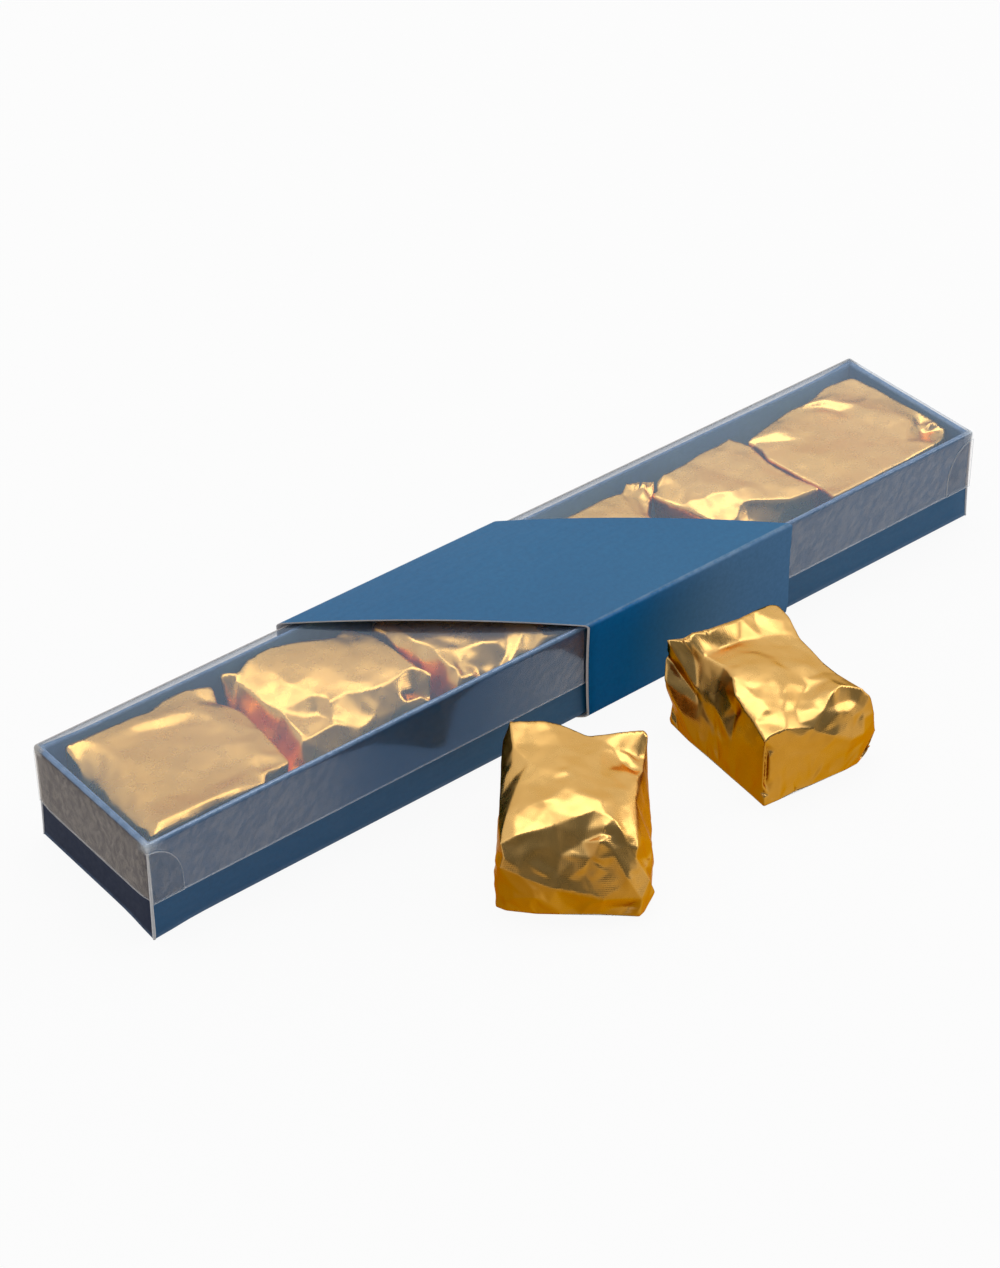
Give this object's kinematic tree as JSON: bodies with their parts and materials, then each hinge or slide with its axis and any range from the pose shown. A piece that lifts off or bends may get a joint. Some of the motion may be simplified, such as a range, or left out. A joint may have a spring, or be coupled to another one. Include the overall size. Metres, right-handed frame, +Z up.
{
  "type": "candied chestnut box",
  "caption": "Long flat gift box of foil-wrapped candied chestnuts: card tray, clear lid and a slanted card sleeve that slides off, with loose wrapped chestnuts in front.",
  "frame": {"origin": "on the surface that the box stands on, under the middle of the tray, on the underside of the sleeve", "axes": "+X along the tray, +Z up, and -Y towards the loose parcels in front"},
  "size_m": [0.25, 0.106, 0.0287],
  "materials": {
    "blue_card": "satin coated blue card",
    "sleeve_card": "satin coated blue card",
    "clear_film": "clear glossy film",
    "gold_foil": "crumpled gold foil with a fine embossed weave",
    "candied_chestnut": "brown sugar glaze"
  },
  "bodies": {
    "box": {"tray": "blue_card", "lid": "clear_film", "wrapper_1": "gold_foil", "wrapper_2": "gold_foil", "wrapper_3": "gold_foil", "wrapper_4": "gold_foil", "wrapper_5": "gold_foil", "wrapper_6": "gold_foil", "chestnut_1": "candied_chestnut", "chestnut_2": "candied_chestnut", "chestnut_3": "candied_chestnut", "chestnut_4": "candied_chestnut", "chestnut_5": "candied_chestnut", "chestnut_6": "candied_chestnut"},
    "sleeve": {"sleeve": "sleeve_card"},
    "loose_a": {"wrapper_loose_a": "gold_foil", "chestnut_loose_a": "candied_chestnut"},
    "loose_b": {"wrapper_loose_b": "gold_foil", "chestnut_loose_b": "candied_chestnut"}
  },
  "joints": [
    {"name": "sleeve_slide", "type": "slide", "parent": "box", "child": "sleeve", "axis": [1, 0, 0], "range_m": [-0.195, 0.195]},
    {"name": "loose_a_lift", "type": "slide", "parent": "box", "child": "loose_a", "axis": [0, 0, 1], "range_m": [0, 0.08]},
    {"name": "loose_b_lift", "type": "slide", "parent": "box", "child": "loose_b", "axis": [0, 0, 1], "range_m": [0, 0.08]}
  ]
}
